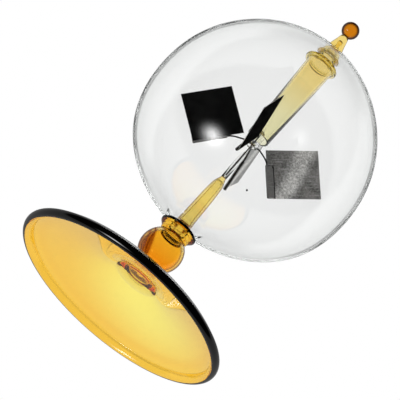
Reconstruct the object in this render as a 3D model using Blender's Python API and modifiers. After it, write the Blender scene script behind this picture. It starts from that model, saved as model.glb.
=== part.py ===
"""A light mill, or vane radiometer: a sealed clear bulb on an amber glass foot, with a rotor on a needle.

The glass stacks up from the table: foot, hollow ball knop, collar, then the hollow support stem with its
clear tip and steel needle. The bulb stands on the collar, and the guide tube hangs from its top, under the
finial. The rotor is a glass cup that hangs on the needle's point, with four wire arms. Each arm lies in the
hem that is folded at the lower inner edge of a square metal vane. A vane is blackened on its flat face only.

Units are metres, +Z is up, and the origin is the middle of the foot's resting plane. A profile is a list of
(radius, height) points that is turned about Z.
"""

import math

import bmesh
import bpy
from mathutils import Vector

MM = 0.001

# Gaps that touching pieces keep.
SEAT_GAP = 0.3 * MM
SOCKET_GAP = 0.1 * MM
COAT_GAP = 0.02 * MM
POINT_GAP = 0.12 * MM

# Foot.
FOOT_RADIUS = 39.4 * MM
FOOT_WALL = 1.6 * MM
FOOT_SHOULDER_Z = 3.5 * MM
FOOT_CROWN_Z = 11.2 * MM
LAND_WIDTH = 1.2 * MM
PEDESTAL_RADIUS = 4.5 * MM
PEDESTAL_Z = 16.2 * MM

# Ball knop between the foot and the collar.
KNOP_RADIUS = 7.7 * MM
KNOP_WALL = 1.2 * MM
KNOP_SEAT_RADIUS = 3.8 * MM
KNOP_MOUTH_RADIUS = 4.9 * MM

# Collar that carries the stem and the bulb.
COLLAR_HEIGHT = 3.5 * MM
COLLAR_BORE = 3.5 * MM
COLLAR_BELLY = 0.35 * MM
COLLAR_FLARE = 1.5 * MM
LIP_OVERHANG = 1.9 * MM
LIP_THICKNESS = 1.0 * MM

# Support stem, its clear tip and the needle.
STEM_LENGTH = 23.7 * MM
STEM_BASE_RADIUS = 2.75 * MM
STEM_TOP_RADIUS = 2.35 * MM
STEM_WALL = 0.8 * MM
STEM_SOLID_TOP = 3.2 * MM
FLARE_RADIUS = 5.2 * MM
FLARE_HEIGHT = 3.4 * MM
HOLDER_RADIUS = 1.0 * MM
HOLDER_LENGTH = 11.8 * MM
HOLDER_TIP_RADIUS = 0.62 * MM
NEEDLE_RADIUS = 0.26 * MM
NEEDLE_EMBEDDED = 10.9 * MM
NEEDLE_CONE = 1.6 * MM
NEEDLE_POINT_RADIUS = 0.04 * MM
NEEDLE_ABOVE_HOLDER = 9.4 * MM

# Bulb.
BULB_RADIUS = 40.0 * MM
BULB_WALL = 0.8 * MM
BULB_SWELL = 1.2 * MM
BULB_SWELL_AT = math.radians(-30.0)
BULB_SWELL_SPREAD = math.radians(22.0)
BULB_NECK_RADIUS = 6.6 * MM
BULB_NECK_HEIGHT = 1.0 * MM
BULB_NECK_FILLET = 2.5 * MM

# Guide tube and finial.
GUIDE_END_RADIUS = 4.0 * MM
GUIDE_TOP_RADIUS = 4.9 * MM
GUIDE_WALL = 0.5 * MM
GUIDE_NECK_RADIUS = 3.0 * MM
GUIDE_FLANGE_RADIUS = 6.2 * MM
GUIDE_FLANGE_THICKNESS = 1.1 * MM
GUIDE_FLANGE_DROP = 3.9 * MM
GUIDE_OVERLAP = 3.1 * MM
CONE_BASE_RADIUS = 4.4 * MM
CONE_TOP_RADIUS = 1.5 * MM
CONE_HEIGHT = 9.3 * MM
CONE_WALL = 1.9 * MM
CONE_NECK_RADIUS = 1.0 * MM
CONE_NECK_HEIGHT = 0.4 * MM
FINIAL_RADIUS = 3.05 * MM

# Rotor.
CUP_BORE = 1.3 * MM
CUP_WALL = 0.6 * MM
CUP_LENGTH = 7.2 * MM
CUP_TAIL_LENGTH = 5.6 * MM
CUP_TAIL_RADIUS = 0.22 * MM
BEAD_RADIUS = 2.3 * MM
BEAD_HEIGHT = 1.6 * MM
SOCKET_DEPTH = 0.6 * MM
WIRE_RADIUS = 0.26 * MM
ARM_STUB = 0.9 * MM
ARM_BEND_RADIUS = 1.6 * MM
VANE_COUNT = 4
VANE_SIDE = 17.5 * MM
VANE_THICKNESS = 0.2 * MM
VANE_INNER_RADIUS = 4.6 * MM
VANE_CORNER_RISE = 1.6 * MM
VANE_EDGE_SLOPE = math.radians(50.5)
HEM_START = 5.8 * MM
HEM_TAB = 2.0 * MM
HEM_MOUTH = 0.12 * MM
HEM_CUT = 0.5
BLACKING_THICKNESS = 0.08 * MM
ROTOR_AZIMUTH = math.radians(-10.0)

# Fineness of the facets.
WIDE_TURN = 48
MIDDLE_TURN = 32
NARROW_TURN = 24
FINE_TURN = 16
FOLD_STEPS = 8
MERGE_DISTANCE = 0.02 * MM

# Heights that follow from the sizes above.
KNOP_Z = PEDESTAL_Z + SEAT_GAP + math.sqrt(KNOP_RADIUS**2 - KNOP_SEAT_RADIUS**2)
KNOP_MOUTH_Z = KNOP_Z + math.sqrt(KNOP_RADIUS**2 - KNOP_MOUTH_RADIUS**2)
COLLAR_Z = KNOP_MOUTH_Z + SEAT_GAP
COLLAR_TOP_Z = COLLAR_Z + COLLAR_HEIGHT
STEM_Z = COLLAR_TOP_Z + SEAT_GAP
HOLDER_Z = STEM_Z + STEM_LENGTH + SEAT_GAP
HOLDER_TOP_Z = HOLDER_Z + HOLDER_LENGTH
NEEDLE_POINT_Z = HOLDER_TOP_Z + NEEDLE_ABOVE_HOLDER
FILLET_Z = COLLAR_TOP_Z + SEAT_GAP + BULB_NECK_HEIGHT
FILLET_R = BULB_NECK_RADIUS + BULB_NECK_FILLET
BULB_Z = FILLET_Z + math.sqrt((BULB_RADIUS + BULB_NECK_FILLET) ** 2 - FILLET_R**2)
BULB_HOLE_RADIUS = GUIDE_NECK_RADIUS + SEAT_GAP
CUP_APEX_Z = NEEDLE_POINT_Z + POINT_GAP
CUP_Z = CUP_APEX_Z + CUP_WALL - CUP_LENGTH
HUB_Z = CUP_Z + BEAD_HEIGHT / 2
CONE_Z = BULB_Z + BULB_RADIUS + SEAT_GAP
CONE_TOP_Z = CONE_Z + CONE_HEIGHT

# Fold of the vane's hem round its wire.
FOLD_RADIUS = WIRE_RADIUS + SOCKET_GAP + VANE_THICKNESS / 2


def clear_scene():
    for obj in list(bpy.data.objects):
        bpy.data.objects.remove(obj)


def new_collection(name):
    collection = bpy.data.collections.new(name)
    bpy.context.scene.collection.children.link(collection)
    return collection


def material(name, colour, roughness, metallic=0.0, transmission=0.0):
    made = bpy.data.materials.new(name)
    made.use_nodes = True
    shader = made.node_tree.nodes["Principled BSDF"]
    shader.inputs["Base Color"].default_value = (*colour, 1.0)
    shader.inputs["Roughness"].default_value = roughness
    shader.inputs["Metallic"].default_value = metallic
    shader.inputs["Transmission Weight"].default_value = transmission
    made.diffuse_color = (*colour, 1.0)
    return made


def arc(centre, radius, start, end, steps):
    """Points on a circle in the profile plane, by angles in radians from +radius towards +height."""
    turn = end - start
    return [
        (
            centre[0] + radius * math.cos(start + turn * i / steps),
            centre[1] + radius * math.sin(start + turn * i / steps),
        )
        for i in range(steps + 1)
    ]


def smooth(points, steps):
    """A Catmull-Rom curve through the points, each stretch in so many steps."""
    ends = [points[0], *points, points[-1]]
    curve = []
    for a, b, c, d in zip(ends, ends[1:], ends[2:], ends[3:]):
        for i in range(steps):
            t = i / steps
            curve.append(
                tuple(
                    0.5
                    * (
                        2 * q
                        + (r - p) * t
                        + (2 * p - 5 * q + 4 * r - s) * t**2
                        + (3 * q - p - 3 * r + s) * t**3
                    )
                    for p, q, r, s in zip(a, b, c, d)
                )
            )
    return [*curve, points[-1]]


def inset(points, distance):
    """The points of an outline that runs down its outer side, moved inwards by the distance."""
    moved = []
    for i, (r, z) in enumerate(points):
        before = points[max(i - 1, 0)]
        after = points[min(i + 1, len(points) - 1)]
        along = Vector((after[0] - before[0], after[1] - before[1])).normalized()
        moved.append((r + along.y * distance, z - along.x * distance))
    return moved


def rounded_path(points, radius, steps):
    """A path of straight runs with its corners rounded to the radius."""
    path = [points[0]]
    for before, corner, after in zip(points, points[1:], points[2:]):
        here = Vector(corner)
        to_before = (Vector(before) - here).normalized()
        to_after = (Vector(after) - here).normalized()
        half = to_before.angle(to_after) / 2
        reach = radius / math.tan(half)
        start = here + to_before * reach
        end = here + to_after * reach
        for i in range(steps + 1):
            t = i / steps
            path.append(tuple(start * (1 - t) ** 2 + here * 2 * t * (1 - t) + end * t**2))
    return [*path, points[-1]]


def add(name, data, collection, paint=None, parent=None):
    obj = bpy.data.objects.new(name, data)
    collection.objects.link(obj)
    if paint:
        data.materials.append(paint)
    if parent:
        obj.parent = parent
    return obj


def turned(name, profile, segments, collection, paint, closed=False, base=0.0, parent=None):
    """A profile turned about Z. It runs down its outer side, and a closed one doesn't reach the axis."""
    mesh = bpy.data.meshes.new(name)
    count = len(profile)
    edges = [(i, (i + 1) % count) for i in range(count if closed else count - 1)]
    mesh.from_pydata([(r, 0.0, z - base) for r, z in profile], edges, [])
    obj = add(name, mesh, collection, paint, parent)
    screw = obj.modifiers.new("Turn", "SCREW")
    screw.steps = screw.render_steps = segments
    screw.use_merge_vertices = True
    screw.merge_threshold = MERGE_DISTANCE
    screw.use_smooth_shade = True
    return obj


def foot_profile():
    """A shallow saucer with a rolled edge and a trumpet-shaped pedestal at its crown."""
    shoulder = (FOOT_RADIUS - 2.2 * MM, FOOT_SHOULDER_Z)
    crown = (PEDESTAL_RADIUS + 4.0 * MM, FOOT_CROWN_Z)
    slope = (FOOT_CROWN_Z - FOOT_SHOULDER_Z) / (shoulder[0] - crown[0])
    saucer = smooth(
        [
            crown,
            (crown[0] + 7.0 * MM, FOOT_CROWN_Z - 8.5 * MM * slope),
            (shoulder[0] - 4.5 * MM, FOOT_SHOULDER_Z + 7.0 * MM * slope),
            shoulder,
        ],
        4,
    )
    pedestal = smooth(
        [
            (PEDESTAL_RADIUS, PEDESTAL_Z),
            (PEDESTAL_RADIUS, PEDESTAL_Z - 1.4 * MM),
            (PEDESTAL_RADIUS + 1.1 * MM, (PEDESTAL_Z + FOOT_CROWN_Z) / 2 - 0.5 * MM),
            crown,
        ],
        3,
    )
    land_edge = FOOT_RADIUS - 0.9 * MM
    edge = smooth(
        [
            shoulder,
            (FOOT_RADIUS - 0.45 * MM, FOOT_SHOULDER_Z * 0.6),
            (FOOT_RADIUS, FOOT_SHOULDER_Z * 0.3),
            (land_edge, 0.0),
        ],
        3,
    )
    under = inset(saucer, FOOT_WALL)
    inner_edge = smooth(
        [
            (land_edge - LAND_WIDTH, 0.0),
            (land_edge - LAND_WIDTH - 0.25 * MM, FOOT_SHOULDER_Z * 0.3),
            under[-1],
        ],
        3,
    )
    return [
        (0.0, PEDESTAL_Z),
        *pedestal[:-1],
        *saucer[:-1],
        *edge,
        *inner_edge[:-1],
        *reversed(under),
        (0.0, FOOT_CROWN_Z - FOOT_WALL + 0.3 * MM),
    ]


def knop_profile():
    """A hollow ball, flat where it sits on the pedestal and open where it meets the collar."""
    outer_top = math.asin((KNOP_MOUTH_Z - KNOP_Z) / KNOP_RADIUS)
    outer_low = -math.acos(KNOP_SEAT_RADIUS / KNOP_RADIUS)
    hollow = KNOP_RADIUS - KNOP_WALL
    bore = min(COLLAR_BORE, hollow * 0.6)
    below_mouth = math.asin((KNOP_MOUTH_Z - KNOP_Z - KNOP_WALL * 0.3) / hollow)
    inner_top = min(math.acos(bore / hollow), below_mouth)
    outer = arc((0.0, KNOP_Z), KNOP_RADIUS, outer_top, outer_low, 14)
    inner = arc((0.0, KNOP_Z), hollow, -math.pi / 2, inner_top, 12)
    inner[0] = (0.0, KNOP_Z - hollow)
    return [*inner, (bore, KNOP_MOUTH_Z), *outer, (0.0, outer[-1][1])]


def collar_profile():
    """A short tube with a rounded belly, drawn in and then flared to a rounded lip."""
    lip_z = COLLAR_TOP_Z - LIP_THICKNESS / 2
    lip = arc(
        (KNOP_MOUTH_RADIUS + LIP_OVERHANG - LIP_THICKNESS / 2, lip_z),
        LIP_THICKNESS / 2,
        math.pi / 2,
        -math.pi / 3,
        5,
    )
    belly_radius = KNOP_MOUTH_RADIUS + COLLAR_BELLY
    side = smooth(
        [
            lip[-1],
            (belly_radius, COLLAR_TOP_Z - LIP_THICKNESS - COLLAR_FLARE),
            (belly_radius, COLLAR_Z + COLLAR_BELLY * 1.5),
            (KNOP_MOUTH_RADIUS, COLLAR_Z),
        ],
        3,
    )
    return [*lip[:-1], *side, (COLLAR_BORE, COLLAR_Z), (COLLAR_BORE, COLLAR_TOP_Z)]


def stem_profile():
    """A hollow stem: flared where it closes the bulb, tapered, and drawn to a solid tip."""
    top_z = STEM_Z + STEM_LENGTH
    shoulder_z = top_z - 2.6 * MM
    outer = [
        (0.0, top_z),
        (HOLDER_RADIUS, top_z),
        (HOLDER_RADIUS + 0.25 * MM, top_z - 0.5 * MM),
        (STEM_TOP_RADIUS - 0.25 * MM, shoulder_z + 0.9 * MM),
        (STEM_TOP_RADIUS, shoulder_z),
    ]
    flare = smooth(
        [
            (STEM_BASE_RADIUS, STEM_Z + FLARE_HEIGHT),
            (STEM_BASE_RADIUS + 0.5 * MM, STEM_Z + FLARE_HEIGHT * 0.5),
            (FLARE_RADIUS - 1.0 * MM, STEM_Z + FLARE_HEIGHT * 0.2),
            (FLARE_RADIUS, STEM_Z),
        ],
        2,
    )
    hollow_r = STEM_TOP_RADIUS - STEM_WALL
    hollow_z = top_z - STEM_SOLID_TOP
    dome = arc((0.0, hollow_z - hollow_r), hollow_r, 0.0, math.pi / 2, 4)
    dome[-1] = (0.0, hollow_z)
    return [
        *outer,
        *flare,
        (FLARE_RADIUS - 1.3 * MM, STEM_Z),
        (STEM_BASE_RADIUS - STEM_WALL, STEM_Z + FLARE_HEIGHT * 0.6),
        *dome,
    ]


def holder_profile():
    """A clear glass tip with a blind bore for the needle."""
    bore = NEEDLE_RADIUS + SOCKET_GAP
    floor_z = HOLDER_TOP_Z - NEEDLE_EMBEDDED - SOCKET_GAP
    return [
        (0.0, floor_z),
        (bore, floor_z),
        (bore, HOLDER_TOP_Z),
        (HOLDER_TIP_RADIUS, HOLDER_TOP_Z),
        (HOLDER_RADIUS - 0.12 * MM, HOLDER_TOP_Z - 1.6 * MM),
        (HOLDER_RADIUS, HOLDER_TOP_Z - 3.2 * MM),
        (HOLDER_RADIUS, HOLDER_Z),
        (0.0, HOLDER_Z),
    ]


def needle_profile():
    return [
        (0.0, NEEDLE_POINT_Z),
        (NEEDLE_POINT_RADIUS, NEEDLE_POINT_Z),
        (NEEDLE_RADIUS, NEEDLE_POINT_Z - NEEDLE_CONE),
        (NEEDLE_RADIUS, HOLDER_TOP_Z - NEEDLE_EMBEDDED),
        (0.0, HOLDER_TOP_Z - NEEDLE_EMBEDDED),
    ]


def bulb_side(depth, steps):
    """The bulb's outline at this depth inside its outer face, from the top hole to the neck's end.

    It is a sphere that swells a little below its equator, as the blown glass sagged there.
    """
    radius = BULB_RADIUS - depth
    meet = math.atan2(FILLET_Z - BULB_Z, FILLET_R)
    start = math.acos(BULB_HOLE_RADIUS / radius)
    sphere = []
    for i in range(steps + 1):
        angle = start + (meet - start) * i / steps
        away = (angle - BULB_SWELL_AT) / BULB_SWELL_SPREAD
        reach = radius + BULB_SWELL * math.exp(-(away**2))
        sphere.append((reach * math.cos(angle), BULB_Z + reach * math.sin(angle)))
    fillet = arc(
        (FILLET_R, FILLET_Z), BULB_NECK_FILLET + depth, meet + math.pi, math.pi, 4
    )
    return [*sphere, *fillet[1:], (BULB_NECK_RADIUS - depth, STEM_Z)]


def bulb_profile():
    outer = bulb_side(0.0, 26)
    inner = bulb_side(BULB_WALL, 24)
    return [*outer, *reversed(inner)]


def guide_profile():
    """A tube that narrows downwards, with a flange under the bulb's top and a neck through its hole."""
    end_z = CUP_APEX_Z + CUP_WALL - GUIDE_OVERLAP
    flange_z = BULB_Z + BULB_RADIUS - GUIDE_FLANGE_DROP
    half = GUIDE_FLANGE_THICKNESS / 2
    neck_top_z = BULB_Z + math.sqrt(BULB_RADIUS**2 - BULB_HOLE_RADIUS**2)
    flange = arc(
        (GUIDE_FLANGE_RADIUS - half, flange_z), half, math.pi / 2, -math.pi / 2, 4
    )
    under_z = flange_z - half - 1.2 * MM
    outer = [
        (GUIDE_NECK_RADIUS, neck_top_z),
        (GUIDE_NECK_RADIUS, flange_z + half + 0.5 * MM),
        *flange,
        (GUIDE_TOP_RADIUS, under_z),
        (GUIDE_END_RADIUS, end_z + 0.5 * MM),
        (GUIDE_END_RADIUS, end_z + 0.15 * MM),
        (GUIDE_END_RADIUS - GUIDE_WALL * 0.3, end_z),
    ]
    inner = [
        (GUIDE_END_RADIUS - GUIDE_WALL * 0.7, end_z),
        (GUIDE_END_RADIUS - GUIDE_WALL, end_z + 0.15 * MM),
        (GUIDE_TOP_RADIUS - GUIDE_WALL, under_z),
        (GUIDE_NECK_RADIUS - GUIDE_WALL * 2, flange_z + half),
        (GUIDE_NECK_RADIUS - GUIDE_WALL * 2, neck_top_z),
    ]
    return [*outer, *inner]


def cone_profile():
    """The sealed exhaust tip: a hollow cone with a hollow flare and a short solid neck."""
    side = smooth(
        [
            (CONE_TOP_RADIUS, CONE_TOP_Z),
            (
                CONE_TOP_RADIUS + (CONE_BASE_RADIUS - CONE_TOP_RADIUS) * 0.37,
                CONE_Z + CONE_HEIGHT * 0.5,
            ),
            (CONE_BASE_RADIUS - 0.7 * MM, CONE_Z + CONE_HEIGHT * 0.13),
            (CONE_BASE_RADIUS, CONE_Z),
        ],
        3,
    )
    return [
        (0.0, CONE_TOP_Z + CONE_NECK_HEIGHT),
        (CONE_NECK_RADIUS, CONE_TOP_Z + CONE_NECK_HEIGHT),
        (CONE_NECK_RADIUS, CONE_TOP_Z + CONE_NECK_HEIGHT * 0.4),
        *side,
        (CONE_BASE_RADIUS - CONE_WALL, CONE_Z),
        (CONE_BASE_RADIUS - CONE_WALL - 0.9 * MM, CONE_Z + CONE_HEIGHT * 0.3),
        (0.35 * MM, CONE_Z + CONE_HEIGHT * 0.68),
        (0.0, CONE_Z + CONE_HEIGHT * 0.73),
    ]


def finial_profile():
    seat_z = CONE_TOP_Z + CONE_NECK_HEIGHT + SEAT_GAP
    centre_z = seat_z + math.sqrt(FINIAL_RADIUS**2 - CONE_NECK_RADIUS**2)
    low = -math.acos(CONE_NECK_RADIUS / FINIAL_RADIUS)
    ball = arc((0.0, centre_z), FINIAL_RADIUS, math.pi / 2, low, 12)
    ball[0] = (0.0, centre_z + FINIAL_RADIUS)
    return [*ball, (0.0, ball[-1][1])]


def cup_profile():
    """A small inverted cup with a drawn tail on top and a thick bead at its mouth for the arms."""
    outer_r = CUP_BORE + CUP_WALL
    dome_z = CUP_APEX_Z - CUP_BORE
    tail_z = dome_z + outer_r + CUP_TAIL_LENGTH
    dome = arc((0.0, dome_z), outer_r, math.radians(68), 0.0, 4)
    bead_r = BEAD_HEIGHT / 2
    bead = arc(
        (BEAD_RADIUS - bead_r, HUB_Z), bead_r, math.pi / 3, -math.pi / 2, 6
    )
    hollow = arc((0.0, dome_z), CUP_BORE, 0.0, math.pi / 2, 4)
    hollow[-1] = (0.0, CUP_APEX_Z)
    return [
        (0.0, tail_z),
        (CUP_TAIL_RADIUS * 0.5, tail_z),
        (CUP_TAIL_RADIUS, dome_z + outer_r + 1.2 * MM),
        *dome,
        (outer_r, HUB_Z + BEAD_HEIGHT * 0.55),
        *bead,
        (CUP_BORE, CUP_Z),
        *hollow,
    ]


def socket_cutter(collection, parent):
    """Four radial drills that open the cup's bead for the ends of the arms."""
    bm = bmesh.new()
    depth = SOCKET_DEPTH + BEAD_RADIUS
    for i in range(VANE_COUNT):
        made = bmesh.ops.create_cone(
            bm,
            cap_ends=True,
            segments=8,
            radius1=WIRE_RADIUS + SOCKET_GAP,
            radius2=WIRE_RADIUS + SOCKET_GAP,
            depth=depth,
        )
        angle = ROTOR_AZIMUTH + i * 2 * math.pi / VANE_COUNT
        out = Vector((math.cos(angle), math.sin(angle), 0.0))
        turn = Vector((0.0, 0.0, 1.0)).rotation_difference(out).to_matrix()
        bmesh.ops.rotate(bm, verts=made["verts"], matrix=turn)
        reach = BEAD_RADIUS - SOCKET_DEPTH + depth / 2
        shift = out * reach + Vector((0.0, 0.0, HUB_Z - NEEDLE_POINT_Z))
        bmesh.ops.translate(bm, verts=made["verts"], vec=shift)
    mesh = bpy.data.meshes.new("socket_drills")
    bm.to_mesh(mesh)
    bm.free()
    obj = add("socket_drills", mesh, collection, parent=parent)
    obj.hide_render = True
    obj.display_type = "WIRE"
    return obj


def vane_edge(distance):
    """The point of the vane's hemmed edge that far from its inner corner, as (radius, height)."""
    return (
        VANE_INNER_RADIUS + distance * math.cos(VANE_EDGE_SLOPE),
        HUB_Z + VANE_CORNER_RISE - distance * math.sin(VANE_EDGE_SLOPE),
    )


def arm_wire(name, angle, collection, paint, parent):
    """A wire from its socket in the bead to the end of the hem."""
    points = rounded_path(
        [
            (BEAD_RADIUS - SOCKET_DEPTH + SOCKET_GAP, HUB_Z),
            (BEAD_RADIUS + ARM_STUB, HUB_Z),
            vane_edge(HEM_START - ARM_BEND_RADIUS),
            vane_edge(VANE_SIDE - SOCKET_GAP),
        ],
        ARM_BEND_RADIUS,
        4,
    )
    curve = bpy.data.curves.new(name, "CURVE")
    curve.dimensions = "3D"
    curve.bevel_depth = WIRE_RADIUS
    curve.bevel_resolution = 2
    curve.use_fill_caps = True
    spline = curve.splines.new("POLY")
    spline.points.add(len(points) - 1)
    for place, (r, z) in zip(spline.points, points):
        place.co = (r, 0.0, z - NEEDLE_POINT_Z, 1.0)
    obj = add(name, curve, collection, paint, parent)
    obj.rotation_euler.z = angle
    return obj


def sheet_place(along, across, offset):
    """Where a point of the flat sheet goes once the hem is folded round the wire.

    along runs down the hemmed edge from the inner corner, across is positive on the vane and negative
    on the hem, and offset is the distance from the sheet's middle, positive on the blackened side.
    """
    ring = FOLD_RADIUS + offset
    tilt = math.asin((2 * FOLD_RADIUS - VANE_THICKNESS - HEM_MOUTH) / HEM_TAB)
    sweep = math.pi + tilt
    bent = -across / FOLD_RADIUS
    if across >= 0:
        over, side = across, ring
    else:
        angle = min(bent, sweep)
        straight = max(bent - sweep, 0.0) * FOLD_RADIUS
        over = -ring * math.sin(angle) - straight * math.cos(angle)
        side = ring * math.cos(angle) - straight * math.sin(angle)
    r, z = vane_edge(along)
    return Vector(
        (
            r + over * math.sin(VANE_EDGE_SLOPE),
            side,
            z + over * math.cos(VANE_EDGE_SLOPE) - NEEDLE_POINT_Z,
        )
    )


def sheet(name, angle, along, across, offset, thickness, collection, paint, parent):
    """The part of the vane's sheet between these lines, as an open surface given its thickness."""
    columns, rows = len(along), len(across)
    bm = bmesh.new()
    bmesh.ops.create_grid(bm, x_segments=columns - 1, y_segments=rows - 1, size=0.5)
    before_hem = []
    for vert in bm.verts:
        i = round((vert.co.x + 0.5) * (columns - 1))
        j = round((vert.co.y + 0.5) * (rows - 1))
        cut = HEM_CUT * HEM_TAB if i == 1 and j == 0 and across[j] < 0 else 0.0
        if i == 0 and across[j] < 0:
            before_hem.append(vert)
        vert.co = sheet_place(along[i] + cut, across[j], offset)
    bmesh.ops.delete(bm, geom=before_hem, context="VERTS")
    mesh = bpy.data.meshes.new(name)
    bm.to_mesh(mesh)
    bm.free()
    obj = add(name, mesh, collection, paint, parent)
    obj.rotation_euler.z = angle
    thicken = obj.modifiers.new("Thickness", "SOLIDIFY")
    thicken.thickness = thickness
    thicken.offset = 0.0
    return obj


def vane(name, angle, collection, paint, parent):
    """A square sheet with a hem that starts some way along its edge and is folded back round the wire."""
    tilt = math.asin((2 * FOLD_RADIUS - VANE_THICKNESS - HEM_MOUTH) / HEM_TAB)
    fold = FOLD_RADIUS * (math.pi + tilt)
    across = [-fold - HEM_TAB]
    across += [-fold * (FOLD_STEPS - i) / FOLD_STEPS for i in range(FOLD_STEPS)]
    across += [0.0, VANE_SIDE]
    along = [0.0, HEM_START, VANE_SIDE]
    return sheet(name, angle, along, across, 0.0, VANE_THICKNESS, collection, paint, parent)


def blacking(name, angle, collection, paint, parent):
    """The coat on the vane's flat face, which leaves the hem bare."""
    offset = VANE_THICKNESS / 2 + COAT_GAP + BLACKING_THICKNESS / 2
    across = [0.0, VANE_SIDE / 2, VANE_SIDE]
    along = [0.0, VANE_SIDE / 2, VANE_SIDE]
    return sheet(name, angle, along, across, offset, BLACKING_THICKNESS, collection, paint, parent)


def build_glass(parts, amber, clear, steel):
    turned("foot", foot_profile(), WIDE_TURN, parts, amber)
    turned("ball_knop", knop_profile(), MIDDLE_TURN, parts, amber)
    turned("collar", collar_profile(), MIDDLE_TURN, parts, amber, closed=True)
    turned("support_stem", stem_profile(), NARROW_TURN, parts, amber)
    turned("needle_holder", holder_profile(), FINE_TURN, parts, clear)
    turned("needle", needle_profile(), FINE_TURN, parts, steel)
    turned("bulb", bulb_profile(), WIDE_TURN, parts, clear, closed=True)
    turned("guide_tube", guide_profile(), MIDDLE_TURN, parts, amber, closed=True)
    turned("finial_cone", cone_profile(), NARROW_TURN, parts, amber)
    turned("finial_ball", finial_profile(), NARROW_TURN, parts, amber)


def build_rotor(parts, cutters, clear, steel, silver, black):
    """The rotor hangs on an empty at the needle's point, on the axis that it turns about."""
    axis = bpy.data.objects.new("rotor_axis", None)
    axis.location.z = NEEDLE_POINT_Z
    parts.objects.link(axis)
    cup = turned(
        "pivot_cup", cup_profile(), NARROW_TURN, parts, clear, base=NEEDLE_POINT_Z, parent=axis
    )
    sockets = cup.modifiers.new("Sockets", "BOOLEAN")
    sockets.operation = "DIFFERENCE"
    sockets.object = socket_cutter(cutters, axis)
    for i in range(VANE_COUNT):
        angle = ROTOR_AZIMUTH + i * 2 * math.pi / VANE_COUNT
        number = i + 1
        arm_wire(f"arm_{number}", angle, parts, steel, axis)
        vane(f"vane_{number}", angle, parts, silver, axis)
        blacking(f"blacking_{number}", angle, parts, black, axis)


def main():
    clear_scene()
    parts = new_collection("radiometer")
    cutters = new_collection("cutters")
    amber = material("amber_glass", (0.93, 0.55, 0.07), 0.03, transmission=1.0)
    clear = material("clear_glass", (0.93, 0.94, 0.94), 0.02, transmission=1.0)
    steel = material("steel_wire", (0.20, 0.20, 0.20), 0.35, metallic=1.0)
    silver = material("dull_silver", (0.48, 0.47, 0.45), 0.38, metallic=1.0)
    black = material("lamp_black", (0.01, 0.01, 0.011), 0.4)
    build_glass(parts, amber, clear, steel)
    build_rotor(parts, cutters, clear, steel, silver, black)


main()
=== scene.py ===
"""The looks of a light mill: an amber blown foot, a clear bulb, and a rotor of four vanes on a needle.

Every glass piece and the needle are turned from profiles by one Geometry Nodes tree. Each stands for the
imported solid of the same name, and takes its place and main sizes from that solid's box. Lengths are metres
and +Z is up.
"""

import math

import bmesh
import bpy
from mathutils import Matrix, Vector


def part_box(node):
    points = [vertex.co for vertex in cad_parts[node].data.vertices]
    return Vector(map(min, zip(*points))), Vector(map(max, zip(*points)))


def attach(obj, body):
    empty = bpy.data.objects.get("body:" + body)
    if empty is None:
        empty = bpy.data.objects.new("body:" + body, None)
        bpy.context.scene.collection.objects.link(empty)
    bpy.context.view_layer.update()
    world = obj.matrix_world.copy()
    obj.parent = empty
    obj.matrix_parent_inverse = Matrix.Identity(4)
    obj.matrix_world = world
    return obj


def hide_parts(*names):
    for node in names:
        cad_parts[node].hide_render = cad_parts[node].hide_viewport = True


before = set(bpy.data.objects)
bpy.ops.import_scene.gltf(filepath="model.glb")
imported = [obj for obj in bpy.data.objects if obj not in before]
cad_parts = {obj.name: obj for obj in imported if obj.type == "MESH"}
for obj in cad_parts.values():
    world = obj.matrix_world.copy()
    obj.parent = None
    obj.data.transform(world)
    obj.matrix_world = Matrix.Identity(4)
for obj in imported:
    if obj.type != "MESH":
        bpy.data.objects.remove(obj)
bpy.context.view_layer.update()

MM = 0.001

# The camera looks up at the underside of the foot, with the object's axis leaning to the right.
CAMERA_PLACE = Vector((4.85, -848.7, -321.4)) * MM
CAMERA_PITCH = math.radians(23.38)
CAMERA_YAW = math.radians(0.4)
CAMERA_ROLL = math.radians(40.85)
CAMERA_LENS = 254.9
CAMERA_SENSOR = 36.0

# Studio: a lamp that lights the floor, and what mirrors see. The backdrop's two ranges are the parts of a
# direction, backwards and upwards, over which it comes in and fades out.
LAMP_PLACE = Vector((-0.7, -0.6, 0.9))
LAMP_TARGET = Vector((0.0, 0.0, 0.06))
LAMP_SIZE = 0.8
LAMP_POWER = 6.0
KEY_DIRECTION = Vector((-0.51, -0.467, -0.72)).normalized()
KEY_STRENGTH = 19.0
KEY_SPREAD = math.radians(8)
KEY_IN_GLASS = 0.1
ROOM_LEVEL = 0.02
BACKDROP_BACK = (0.02, 0.2)
BACKDROP_TOP = (0.78, 0.92)
BACKDROP_ON_SURFACES = 0.35
DIFFUSE_LEVEL = 0.9
FLOOR_HALF = 3.0
FLOOR_DROP = 0.05 * MM
MOST_BOUNCES = 32

# Turning.
WIDE_SIDES = 160
NARROW_SIDES = 96
NEEDLE_SIDES = 24
WELD = 0.001 * MM
EASE_SHARE = 0.45

# Glass sizes that the frame's boxes don't give.
FOOT_WALL = 1.6 * MM
# FOOT_HIGHLIGHT_SPOT is the middle of a painted highlight on the foot.
FOOT_HIGHLIGHT_SPOT = Vector((8.0, 5.5, 7.0)) * MM
RIM_RADIUS = 1.5 * MM
# RIM_SHADE_WIDTH is the width of the painted black shade on the rim's upper face.
RIM_SHADE_WIDTH = 4.8 * MM
KNOP_WALL = 0.9 * MM
KNOP_SEAT_RADIUS = 3.8 * MM
KNOP_MOUTH_RADIUS = 4.9 * MM
COLLAR_BORE_RADIUS = 3.5 * MM
COLLAR_BULGE = 0.35 * MM
STEM_WALL = 0.8 * MM
BULB_RADIUS = 40.0 * MM
BULB_WALL = 0.7 * MM
BULB_HOLE_RADIUS = 3.3 * MM
BULB_NECK_RADIUS = 6.6 * MM
BULB_SWELL = 1.3 * MM
BULB_SWELL_AT = math.radians(-30)
BULB_FLAT = 0.4 * MM
BULB_FLAT_AT = math.radians(42)
BULB_BEND_SPREAD = math.radians(22)
GUIDE_WALL = 0.55 * MM
CUP_BORE = 1.3 * MM
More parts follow.
